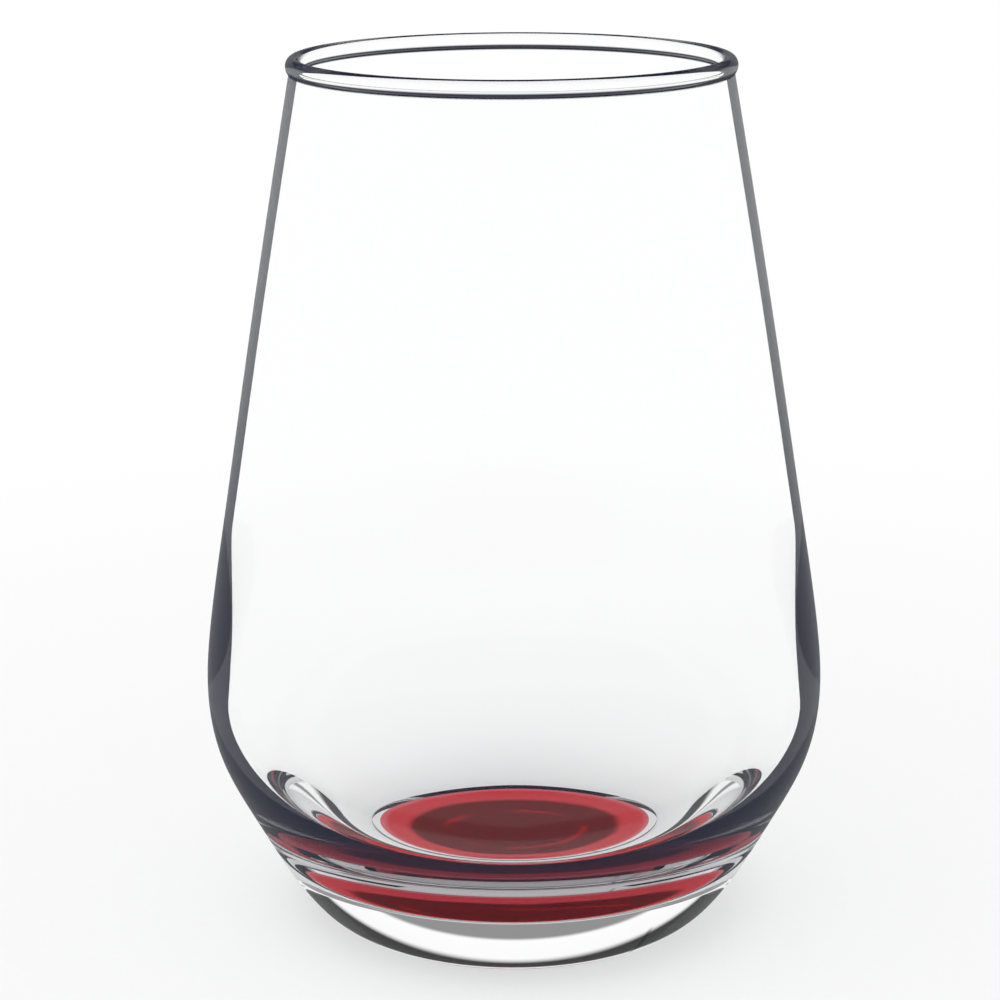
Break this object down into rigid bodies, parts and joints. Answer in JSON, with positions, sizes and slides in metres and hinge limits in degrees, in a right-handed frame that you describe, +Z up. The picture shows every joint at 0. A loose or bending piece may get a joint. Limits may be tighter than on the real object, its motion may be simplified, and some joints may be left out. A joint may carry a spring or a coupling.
{
  "type": "stemless wine glass",
  "caption": "Clear stemless wine glass: an egg-shaped bowl that narrows to a rounded rim, on a thick solid base with a translucent red coat under it.",
  "frame": {"origin": "centre of the contact ring, on the table", "axes": "+Z up along the glass's axis of revolution"},
  "size_m": [0.0886, 0.0886, 0.124],
  "materials": {
    "clear_glass": "polished",
    "red_coat": "glossy translucent"
  },
  "bodies": {
    "root": {"glass_body": "clear_glass", "base_coat": "red_coat"}
  },
  "joints": []
}
